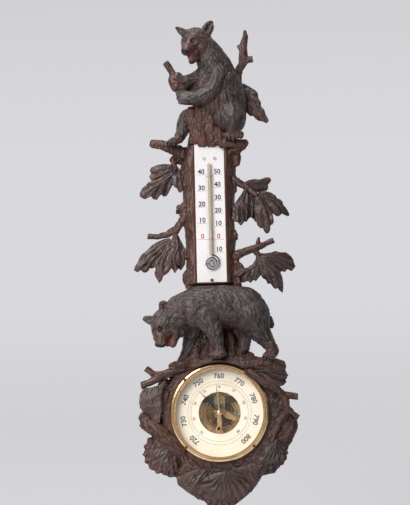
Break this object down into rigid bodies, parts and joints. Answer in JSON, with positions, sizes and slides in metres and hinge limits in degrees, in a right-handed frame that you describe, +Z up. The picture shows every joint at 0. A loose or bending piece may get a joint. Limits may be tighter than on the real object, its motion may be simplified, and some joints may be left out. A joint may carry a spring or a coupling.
{
  "type": "carved barometer",
  "caption": "Carved wooden wall barometer and thermometer with a bear on a stump, a walking bear, oak-leaf sprays and a brass-bezelled aneroid dial.",
  "frame": {"origin": "centre of the hanger plate's eye, in the plane of the wall", "axes": "+Z up along the trunk, +X to the right seen from the front, the front faces -Y and the wall is the plane Y = 0"},
  "size_m": [0.2139, 0.0793, 0.6438],
  "materials": {
    "carved_wood": "carved limewood, stained dark red-brown and waxed",
    "bear_wood": "carved limewood, stained grey-black, tooled as fur",
    "bead_glass": "polished dark glass bead",
    "peg_wood": "turned beech, bare",
    "opal_glass": "milk-white glass with fired black marks",
    "clear_glass": "clear polished glass",
    "mercury": "bright liquid metal in glass",
    "dial_enamel": "warm white printed dial, satin",
    "iron": "blackened iron",
    "blued_steel": "blued steel",
    "bright_steel": "bright drawn steel",
    "brass": "lacquered brass, turned",
    "gilt_brass": "polished gilt brass",
    "dark_brass": "aged brass"
  },
  "bodies": {
    "root": {"back_board": "carved_wood", "trunk": "carved_wood", "dial_surround": "carved_wood", "seated_bear": "bear_wood", "walking_bear": "bear_wood", "stump": "carved_wood", "held_stick": "carved_wood", "upper_left_spray": "carved_wood", "lower_left_spray": "carved_wood", "upper_right_spray": "carved_wood", "lower_right_spray": "carved_wood", "top_branch": "carved_wood", "left_twig": "carved_wood", "right_vine": "carved_wood", "seated_bear_eyes": "bead_glass", "walking_bear_eyes": "bead_glass", "spray_pegs": "peg_wood", "bear_dowels": "peg_wood", "trunk_dowels": "peg_wood", "board_screws": "brass", "hanger_plate": "iron", "hanger_screws": "brass", "scale_plate": "opal_glass", "plate_pins": "dark_brass", "thermometer_stem": "clear_glass", "thermometer_bulb": "mercury", "mercury_thread": "mercury", "stem_staples": "brass", "case": "brass", "bezel": "gilt_brass", "bezel_screws": "dark_brass", "dial_glass": "clear_glass", "glass_ring": "gilt_brass", "dial": "dial_enamel", "base_plate": "brass", "dial_pillars": "brass", "capsule": "brass", "capsule_nut": "blued_steel", "bridge": "iron", "bridge_screws": "brass", "main_spring": "blued_steel", "shaft_brackets": "brass", "hairspring": "blued_steel", "lower_cock": "brass", "upper_cock": "brass", "cock_screw": "blued_steel"},
    "pointer": {"indicating_hand": "blued_steel", "hand_arbor": "bright_steel"},
    "set_pointer": {"set_hand": "gilt_brass"},
    "drive_chain": {"chain": "bright_steel"},
    "rock_shaft": {"rocking_shaft": "bright_steel"},
    "link": {"link_rod": "bright_steel"},
    "lever": {"lever_arm": "brass"},
    "adjuster": {"adjusting_screw": "brass"}
  },
  "joints": [
    {"name": "pointer_turn", "type": "hinge", "parent": "root", "child": "pointer", "pos_m": [0.0057, -0.033, -0.375], "axis": [0, -1, 0], "range_deg": [-192, 108], "stiffness_Nm_per_rad": 0.002, "deforming": ["hairspring"]},
    {"name": "set_pointer_turn", "type": "hinge", "parent": "root", "child": "set_pointer", "pos_m": [0.0057, -0.04, -0.375], "axis": [0, -1, 0], "continuous": true},
    {"name": "chain_slide", "type": "slide", "parent": "root", "child": "drive_chain", "axis": [1, 0, 0], "range_m": [-0.00403, 0.00227]},
    {"name": "shaft_rock", "type": "hinge", "parent": "root", "child": "rock_shaft", "pos_m": [0.0317, -0.0175, -0.375], "axis": [0, 0, 1], "range_deg": [-25.65, 14.43]},
    {"name": "link_slide", "type": "slide", "parent": "root", "child": "link", "axis": [0, -1, 0], "range_m": [-0.00179, 0.00101]},
    {"name": "lever_lift", "type": "hinge", "parent": "root", "child": "lever", "pos_m": [0.0107, -0.0206, -0.361], "axis": [1, 0, 0], "range_deg": [-2.51, 4.46], "deforming": ["main_spring"]},
    {"name": "adjuster_turn", "type": "hinge", "parent": "root", "child": "adjuster", "pos_m": [0.0057, -0.007, -0.375], "axis": [0, 1, 0], "continuous": true}
  ],
  "couplings": [
    {"joint": "chain_slide", "follows": "pointer_turn", "m_per_rad": 0.0012},
    {"joint": "shaft_rock", "follows": "pointer_turn", "ratio": 0.13333},
    {"joint": "link_slide", "follows": "pointer_turn", "m_per_rad": 0.00053333},
    {"joint": "lever_lift", "follows": "pointer_turn", "ratio": -0.023188}
  ]
}
